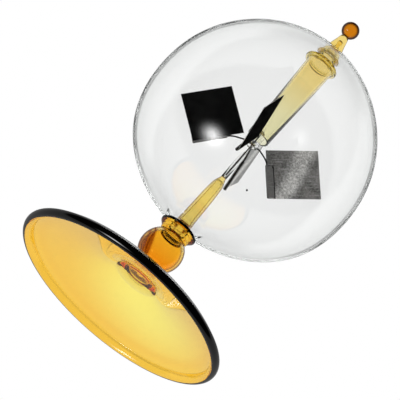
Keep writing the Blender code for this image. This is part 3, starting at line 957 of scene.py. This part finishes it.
def absorb(tree, passed, depth):
    """Fills the glass with the dye that passes this colour through this depth of it."""
    loss = [-math.log(part) / depth for part in passed]
    density = max(loss)
    colour = [1.0 - part / density for part in loss]
    volume = put(tree, "ShaderNodeVolumeAbsorption", Color=(*colour, 1.0), Density=density)
    fill(tree, tree.nodes["Material Output"], Volume=volume.outputs[0])


def glass(name, surface, passed, depth, edge, limb=(0.5, 0.9), dark=None, tint=None, soft=None):
    """Blown glass.

    surface is the tint of each wall, passed is the colour that comes through this depth of the glass, and
    edge is a painted shade, a dark outline where the wall turns away from the eye, over the limb's range of
    turning. dark makes a mask that is painted black on the faces that light enters, a painted shade for a
    rolled edge or a thin neck that shows only dark surroundings; tint gives a colour by place, and soft
    makes a mask of where the edge has no painted shade.
    """
    made, tree, shader, where = blank_material(name)
    uneven = waves(tree, where, 90.0, 500.0)
    waved = bumped(tree, uneven["Height"], 0.1, 0.1 * MM)
    # Painted shade: the wall takes the edge colour where it turns away from the eye, a dark outline.
    turning = put(tree, "ShaderNodeLayerWeight", Blend=0.5).outputs["Facing"]
    rim = ranged(tree, turning, *limb)
    if soft:
        rim = product(tree, rim, one_less(tree, soft(tree, where)))
    streaky = ranged(tree, uneven["Streak"], 0.3, 0.7)
    streaked = tuple(part * STREAK_TINT for part in surface)
    clear = blend(tree, streaky, streaked, surface)
    if tint:
        clear = blend(tree, 1.0, clear, tint(tree, where), "MULTIPLY")
    colour = blend(tree, rim, clear, edge)
    # Painted shade: the masked faces that light enters are painted black.
    if dark:
        front = one_less(tree, put(tree, "ShaderNodeNewGeometry").outputs["Backfacing"])
        colour = blend(tree, product(tree, dark(tree, where), front), colour, BLACK)
    fill(tree, shader, Transmission_Weight=1.0, Roughness=0.0, IOR=GLASS_IOR)
    fill(tree, shader, Base_Color=colour, Normal=waved)
    absorb(tree, passed, depth)
    return made


def reach(tree, where):
    """The distance from the axis, and the height, of the shaded point."""
    parts = split(tree, where["Object"])
    flat = put(tree, "ShaderNodeCombineXYZ", i0=parts[0], i1=parts[1]).outputs[0]
    length = put(tree, "ShaderNodeVectorMath", {"operation": "LENGTH"}, i0=flat).outputs["Value"]
    return length, parts[2]


def above(tree, where, start, end):
    """Zero up to the first height, and one from the second."""
    return ranged(tree, reach(tree, where)[1], start, end)


def foot_rim_shade(tree, where):
    """One on the outer side of the foot's rolled edge, and on a band of its upper face, where the rim is
    painted black as painted shade.
    """
    away = reach(tree, where)[0]
    r = radius("foot")
    outermost = ranged(tree, away, r - RIM_RADIUS - 0.15 * MM, r - RIM_RADIUS)
    upper = ranged(tree, split(tree, where["Normal"])[2], -0.1, 0.1)
    band = ranged(tree, away, r - RIM_SHADE_WIDTH - 0.6 * MM, r - RIM_SHADE_WIDTH)
    return maths(tree, "MAXIMUM", outermost, product(tree, upper, band))


def foot_tint(tree, where):
    """The foot's glass is paler round a painted highlight a little off its middle, and thickest in a ring
    inside its edge.
    """
    away = reach(tree, where)[0]
    settings = {"operation": "DISTANCE"}
    # Painted highlight: the amber pales towards this spot and deepens away from it.
    highlight_spot = put(tree, "ShaderNodeVectorMath", settings, i0=where["Object"], i1=FOOT_HIGHLIGHT_SPOT)
    outward = ranged(tree, highlight_spot.outputs["Value"], 6 * MM, 34 * MM)
    outward_tint = blend(tree, outward, WHITE, (0.97, 0.7, 0.42))
    r = radius("foot")
    ring = r - 5.5 * MM
    inner = ranged(tree, away, r - 9 * MM, ring)
    outer = ranged(tree, away, ring, r - 2.5 * MM, 1.0, 0.0)
    return blend(tree, product(tree, inner, outer, 0.4), outward_tint, (0.93, 0.62, 0.36))


def collar_lip_shade(tree, where):
    """One on the collar's lip, which is painted black as painted shade."""
    away = reach(tree, where)[0]
    top = high("collar")
    edge = radius("collar")
    out = ranged(tree, away, edge - 1.6 * MM, edge - 1.0 * MM)
    return product(tree, out, above(tree, where, top - 1.25 * MM, top - 0.95 * MM))


def finial_neck_shade(tree, where):
    """One on the short solid neck under the finial ball, which is painted black as painted shade."""
    top = high("finial_cone")
    return above(tree, where, top - 0.6 * MM, top - 0.3 * MM)


def guide_fade(tree, where):
    """Straw at the tube's open end, and golden near its flange."""
    share = above(tree, where, low("guide_tube") + 8 * MM, high("guide_tube") - 6 * MM)
    return blend(tree, share, WHITE, (1.0, 0.9, 0.7))


def guide_neck(tree, where):
    """One on the tube's neck above its flange."""
    top = high("guide_tube")
    return above(tree, where, top - 3.3 * MM, top - 2.9 * MM)


def cone_foot(tree, where):
    """One where the cone flares on the bulb."""
    base = low("finial_cone")
    return one_less(tree, above(tree, where, base + 1.0 * MM, base + 2.0 * MM))


def cone_fade(tree, where):
    """Nearly clear where the cone flares on the bulb, and straw above."""
    return blend(tree, cone_foot(tree, where), (0.97, 0.8, 0.36), (1.0, 0.97, 0.9))


def knop_tint_and_shade(tree, where):
    """The ball is a deeper amber below, with a painted shade of fine brown strands down one side."""
    x, _, z = split(tree, where["Object"])
    base, _, r = ends("ball_knop")
    deeper = blend(tree, ranged(tree, z, base, base + 1.3 * r), (1.0, 0.72, 0.4), WHITE)
    lean_up = 0.34
    lean_across = 0.94
    side = maths(tree, "MULTIPLY_ADD", z, lean_up, product(tree, x, lean_across))
    middle = lean_up * (base + r)
    # Painted shade: a dark brown crescent of fine strands down one side of the ball.
    shaded_side = ranged(tree, side, middle - 0.62 * r, middle - 0.5 * r, 1.0, 0.0)
    radians_per_metre = 4200.0
    wave = maths(tree, "SINE", product(tree, side, radians_per_metre))
    strands = maths(tree, "MULTIPLY_ADD", wave, 0.3, 0.7)
    return blend(tree, product(tree, shaded_side, strands), deeper, (0.34, 0.13, 0.05))


def bulb_glass():
    """Thin clear glass with a painted dark outline, a painted shade where the wall turns away from the eye.
    Only its coat mirrors, and the coat fades at the outline.
    """
    made, tree, shader, where = blank_material("bulb_clear")
    uneven = waves(tree, where, 45.0, 260.0)
    waved = bumped(tree, uneven["Height"], 0.1, 0.1 * MM)
    turning = put(tree, "ShaderNodeLayerWeight", Blend=0.5).outputs["Facing"]
    across, _, height = split(tree, where["Object"])
    base, top, _ = ends("bulb")
    z = (base + top) / 2
    # The painted shade of the outline fades out near the collar, lower on one side, and is paler near the
    # guide tube.
    slope = -0.17
    slanted = maths(tree, "MULTIPLY_ADD", across, slope, height)
    lower = ranged(tree, slanted, z - 28 * MM, z - 21 * MM)
    upper = ranged(tree, height, z + 39 * MM, z + 25 * MM, 0.35, 1.0)
    streaky = ranged(tree, uneven["Streak"], 0.35, 0.65, 0.7, 1.0)
    edge = ranged(tree, turning, 0.78, 0.84)
    outline = product(tree, edge, product(tree, lower, upper, streaky))
    # Painted shade: the colour turns nearly black along the outline.
    colour = blend(tree, outline, (0.995, 0.996, 0.995), (0.01, 0.011, 0.011))
    fill(tree, shader, Transmission_Weight=1.0, Roughness=0.0, IOR=BULB_IOR, Base_Color=colour)
    fill(tree, shader, Coat_Weight=one_less(tree, edge), Coat_Roughness=0.0, Coat_IOR=GLASS_IOR)
    fill(tree, shader, Coat_Normal=waved)
    absorb(tree, (0.985, 0.988, 0.986), 1.0 * MM)
    return made


def hem_shade_lines(tree, down, across):
    """One on the painted shade lines of the hem: dark along its free edge and its crest, and its painted
    shadow on the sheet.
    """
    lip = ranged(tree, across, HEM_LIP, HEM_LIP + 0.008, 1.0, 0.0)
    crest = ranged(tree, distance_from(tree, across, HEM_CREST), 0.008, 0.02, 1.0, 0.0)
    start = HEM_START / VANE_SIDE
    started = ranged(tree, down, start - 0.02, start + 0.02)
    shadow = ranged(tree, distance_from(tree, across, HEM_REACH), 0.008, 0.022, 1.0, 0.0)
    ridges = maths(tree, "MAXIMUM", lip, crest)
    return maths(tree, "MAXIMUM", ridges, product(tree, shadow, started))


def vane_metal():
    """Thin rolled sheet: dull, with a painted reflection along a slanted band, dark on its hem with painted
    shade lines, and finely scratched.
    """
    made, tree, shader, where = blank_material("scuffed_sheet_with_painted_light")
    marks = scuffs(tree, where["UV"], 3.0, 24.0, 40.0)
    down, across, _ = split(tree, where["UV"])
    # The painted reflection runs as a band slanted over the sheet, by shares of the vane's side.
    slope = -0.52
    start = 0.78
    middle = maths(tree, "MULTIPLY_ADD", down, slope, start)
    band = ranged(tree, distance_from(tree, across, middle), 0.04, 0.3, 1.0, 0.0)
    # Painted reflection: a bright slanted band, cloudy by the patches.
    painted_reflection = product(tree, maths(tree, "MULTIPLY_ADD", marks["Patch"], 0.6, 0.4), band)
    dull = blend(tree, marks["Patch"], (0.07, 0.068, 0.064), (0.24, 0.233, 0.222))
    with_reflection = blend(tree, product(tree, painted_reflection, 0.7), dull, (0.66, 0.65, 0.62))
    # The grain shows brighter inside the painted reflection.
    share = maths(tree, "MULTIPLY_ADD", painted_reflection, 1.3, 0.2)
    speckle = maths(tree, "MULTIPLY", marks["Grain"], share, clamp=True)
    grainy = blend(tree, speckle, with_reflection, (0.95, 0.94, 0.92))
    scratched = blend(tree, product(tree, marks["Scratch"], 0.35), grainy, (0.8, 0.79, 0.77))
    hem = ranged(tree, across, -0.006, 0.0, 1.0, 0.0)
    folded = blend(tree, product(tree, hem, 0.7), scratched, (0.13, 0.127, 0.122))
    # Painted shade: nearly black lines on the hem's edge and crest, and the hem's painted shadow on the
    # sheet.
    shade_lined = blend(tree, hem_shade_lines(tree, down, across), folded, (0.012, 0.012, 0.011))
    rough = ranged(tree, marks["Patch"], 0.0, 1.0, 0.32, 0.5)
    grained = bumped(tree, marks["Grain"], 0.3, 0.05 * MM)
    fill(tree, shader, Base_Color=shade_lined, Metallic=0.3, Roughness=rough, Normal=grained)
    return made


def lamp_black():
    """Soot on metal: almost no light comes back, and what does is soft."""
    made, tree, shader, where = blank_material("soot")
    marks = scuffs(tree, where["UV"], 3.0, 70.0, 40.0)
    colour = blend(tree, marks["Patch"], (0.002, 0.002, 0.002), (0.005, 0.005, 0.005))
    rough = ranged(tree, marks["Grain"], 0.0, 1.0, 0.3, 0.42)
    grained = bumped(tree, marks["Grain"], 0.15, 0.03 * MM)
    fill(tree, shader, Base_Color=colour, Roughness=rough, Specular_IOR_Level=0.0, Normal=grained)
    return made


def plain_dark(name, colour):
    """A grain of ash or scale in the glass."""
    made, tree, shader, where = blank_material(name)
    marks = scuffs(tree, where["Object"], 900.0, 4000.0, 900.0)
    patchy = blend(tree, marks["Patch"], colour, (0.02, 0.018, 0.015))
    fill(tree, shader, Base_Color=patchy, Roughness=0.6)
    return made


def drawn_metal(name, dull, bright, roughness):
    """Drawn wire or a ground needle."""
    made, tree, shader, where = blank_material(name)
    along = put(tree, "ShaderNodeMapping", Vector=where["Object"], Scale=(1.0, 1.0, 0.2)).outputs[0]
    marks = scuffs(tree, along, 400.0, 3000.0, 2500.0)
    colour = blend(tree, marks["Patch"], dull, bright)
    rough = ranged(tree, marks["Grain"], 0.0, 1.0, roughness, roughness + 0.15)
    fill(tree, shader, Base_Color=colour, Metallic=1.0, Roughness=rough)
    return made


# The edge colour of each glass below is a painted shade for its outline.
def foot_amber():
    surface = (1.0, 0.92, 0.31)
    passed = (1.0, 0.93, 0.6)
    edge = (0.8, 0.6, 0.4)
    return glass("foot_amber", surface, passed, 2.1 * MM, edge, dark=foot_rim_shade, tint=foot_tint)


def knop_amber():
    surface = (0.98, 0.68, 0.15)
    passed = (0.99, 0.97, 0.9)
    return glass("knop_amber", surface, passed, 3.0 * MM, BROWN_EDGE_SHADE, (0.5, 0.76), tint=knop_tint_and_shade)


def collar_amber():
    surface = (0.97, 0.78, 0.3)
    passed = (0.97, 0.85, 0.45)
    return glass("collar_amber", surface, passed, 3.0 * MM, BROWN_EDGE_SHADE, (0.62, 0.85), dark=collar_lip_shade)


def stem_amber():
    surface = (1.0, 0.9, 0.55)
    passed = (1.0, 0.93, 0.62)
    return glass("stem_amber", surface, passed, 1.8 * MM, (0.12, 0.05, 0.01), (0.32, 0.62))


def guide_straw():
    surface = (1.0, 0.985, 0.82)
    passed = (1.0, 0.98, 0.84)
    edge = (0.03, 0.02, 0.005)
    masks = {"tint": guide_fade, "soft": guide_neck}
    return glass("guide_straw", surface, passed, 1.15 * MM, edge, (0.66, 0.8), **masks)


def cone_amber():
    passed = (0.98, 0.92, 0.68)
    masks = {"dark": finial_neck_shade, "tint": cone_fade, "soft": cone_foot}
    return glass("cone_amber", WHITE, passed, 3.0 * MM, BROWN_EDGE_SHADE, (0.6, 0.85), **masks)


def finial_amber():
    surface = (0.85, 0.42, 0.06)
    passed = (0.8, 0.55, 0.15)
    return glass("finial_amber", surface, passed, 5.0 * MM, (0.006, 0.001, 0.0), (0.1, 0.42))


def clear_glass(name, edge):
    """Clear lamp-blown glass, with this dark painted at its edge as painted shade."""
    return glass(name, WHITE, CLEAR_DYE, 2.0 * MM, (edge, edge, edge))


# ---- studio


def studio_world():
    """White wherever the camera or the light through glass looks.

    Mirrors see a white backdrop, a dark room in front of it and one large soft lamp.
    """
    world = bpy.data.worlds.new("studio")
    bpy.context.scene.world = world
    world.use_nodes = True
    world.cycles.sampling_method = "NONE"
    tree = world.node_tree
    path = put(tree, "ShaderNodeLightPath").outputs
    ray = put(tree, "ShaderNodeTexCoord").outputs["Generated"]
    _, back, up = split(tree, ray)
    settings = {"operation": "DOT_PRODUCT"}
    toward = put(tree, "ShaderNodeVectorMath", settings, i0=ray, i1=KEY_DIRECTION).outputs["Value"]
    off_key = product(tree, maths(tree, "SUBTRACT", toward, 1.0), 2 / KEY_SPREAD**2)
    lamp = product(tree, maths(tree, "EXPONENT", off_key), KEY_STRENGTH)
    behind = ranged(tree, back, *BACKDROP_BACK)
    below_top = ranged(tree, up, *BACKDROP_TOP, 1.0, 0.0)
    inside_glass = maths(tree, "MINIMUM", path["Transmission Depth"], 1.0)
    dimmed = ranged(tree, inside_glass, 0.0, 1.0, BACKDROP_ON_SURFACES, 1.0)
    backdrop = product(tree, behind, below_top, dimmed)
    lamp_seen = product(tree, lamp, ranged(tree, inside_glass, 0.0, 1.0, 1.0, KEY_IN_GLASS))
    mirrored = maths(tree, "ADD", maths(tree, "MAXIMUM", backdrop, ROOM_LEVEL), lamp_seen)
    is_mirror = maths(tree, "MINIMUM", path["Glossy Depth"], 1.0)
    plain = ranged(tree, path["Is Diffuse Ray"], 0.0, 1.0, 1.0, DIFFUSE_LEVEL)
    level = put(tree, "ShaderNodeMix", {"data_type": "FLOAT"}, i0=is_mirror, i2=plain, i3=mirrored)
    fill(tree, tree.nodes["Background"], Color=(*WHITE, 1.0), Strength=level.outputs[0])


def studio_floor():
    """A pale floor that is seen only from above, and that mirrors look through."""
    quarters = ((-1, -1), (1, -1), (1, 1), (-1, 1))
    corners = [(x * FLOOR_HALF, y * FLOOR_HALF, -FLOOR_DROP) for x, y in quarters]
    mesh = bpy.data.meshes.new("floor")
    mesh.from_pydata(corners, [], [(0, 1, 2, 3)])
    floor = show("floor", mesh)
    made, tree, shader, _ = blank_material("pale_floor")
    fill(tree, shader, Base_Color=(0.93, 0.93, 0.93, 1.0), Roughness=0.9, Specular_IOR_Level=0.1)
    path = put(tree, "ShaderNodeLightPath").outputs
    below = put(tree, "ShaderNodeNewGeometry").outputs["Backfacing"]
    mirror = maths(tree, "MINIMUM", path["Glossy Depth"], 1.0)
    hidden = maths(tree, "MAXIMUM", below, mirror)
    nothing = tree.nodes.new("ShaderNodeBsdfTransparent")
    choice = put(tree, "ShaderNodeMixShader", i0=hidden, i1=shader.outputs[0], i2=nothing.outputs[0])
    fill(tree, tree.nodes["Material Output"], Surface=choice.outputs[0])
    mesh.materials.append(made)


def area_lamp():
    """A large soft lamp for the floor and the vanes, which glass and mirrors don't show."""
    light = bpy.data.lights.new("key", "AREA")
    light.shape = "DISK"
    light.size = LAMP_SIZE
    light.energy = LAMP_POWER
    lamp = show("key", light)
    lamp.location = LAMP_PLACE
    lamp.rotation_euler = (LAMP_TARGET - LAMP_PLACE).to_track_quat("-Z", "Y").to_euler()
    lamp.visible_glossy = False
    lamp.visible_transmission = False


def studio_camera():
    """The camera's own axes: forward by pitch and yaw, then right and up turned by the roll."""
    lens = bpy.data.cameras.new("camera")
    lens.lens = CAMERA_LENS
    lens.sensor_width = CAMERA_SENSOR
    lens.clip_start = 0.01
    lens.clip_end = 20.0
    level = Vector((math.cos(CAMERA_YAW), math.sin(CAMERA_YAW), 0.0))
    ahead = Vector((-level.y, level.x, 0.0))
    forward = ahead * math.cos(CAMERA_PITCH) + Vector((0.0, 0.0, math.sin(CAMERA_PITCH)))
    upright = level.cross(forward)
    right = level * math.cos(CAMERA_ROLL) + upright * math.sin(CAMERA_ROLL)
    up = upright * math.cos(CAMERA_ROLL) - level * math.sin(CAMERA_ROLL)
    camera = show("camera", lens)
    turn = Matrix((right, up, -forward)).transposed().to_4x4()
    camera.matrix_world = Matrix.Translation(CAMERA_PLACE) @ turn
    bpy.context.scene.camera = camera


# ---- the object


def build_stand():
    steel = drawn_metal("needle_steel", (0.10, 0.10, 0.10), (0.32, 0.32, 0.32), 0.25)
    tip = clear_glass("clear_tip", 0.03)
    turned("foot", foot_profile(), foot_amber(), sides=WIDE_SIDES)
    turned("ball_knop", knop_profile(), knop_amber())
    turned("collar", collar_profile(), collar_amber(), closed=True)
    turned("support_stem", stem_profile(), stem_amber())
    turned("needle_holder", holder_profile(), tip, slot="clear_glass")
    turned("needle", needle_profile(), steel, slot="steel", sides=NEEDLE_SIDES)
    bulb = turned("bulb", bulb_profile(), bulb_glass(), slot="clear_glass", sides=WIDE_SIDES, closed=True)
    bulb_seeds(bulb, plain_dark("seed_grey", (0.2, 0.2, 0.2)))
    bulb_speck(plain_dark("speck_black", (0.004, 0.004, 0.004)))
    turned("guide_tube", guide_profile(), guide_straw(), slot="straw_glass", closed=True)
    turned("finial_cone", cone_profile(), cone_amber())
    turned("finial_ball", finial_profile(), finial_amber(), slot="dark_amber_glass")


def build_rotor():
    cup = clear_glass("clear_cup", 0.02)
    turned("pivot_cup", cup_profile(), cup, body="rotor", slot="clear_glass")
    metal = vane_metal()
    soot = lamp_black()
    wire = drawn_metal("arm_wire_dark", (0.02, 0.02, 0.02), (0.07, 0.07, 0.07), 0.35)
    for number in range(VANE_COUNT):
        arm(number, wire)
        vane(number, metal)
        blacking(number, soot)


scene = bpy.context.scene
scene.view_settings.view_transform = "Standard"
scene.cycles.max_bounces = MOST_BOUNCES
scene.cycles.transmission_bounces = MOST_BOUNCES
scene.cycles.glossy_bounces = MOST_BOUNCES // 2
scene.cycles.transparent_max_bounces = MOST_BOUNCES
TURNING = turning_tree()
SEEDS = seeds_tree()
UNEVEN = uneven_glass_group()
SCUFFED = scuffed_group()
studio_camera()
studio_world()
studio_floor()
area_lamp()
build_stand()
build_rotor()
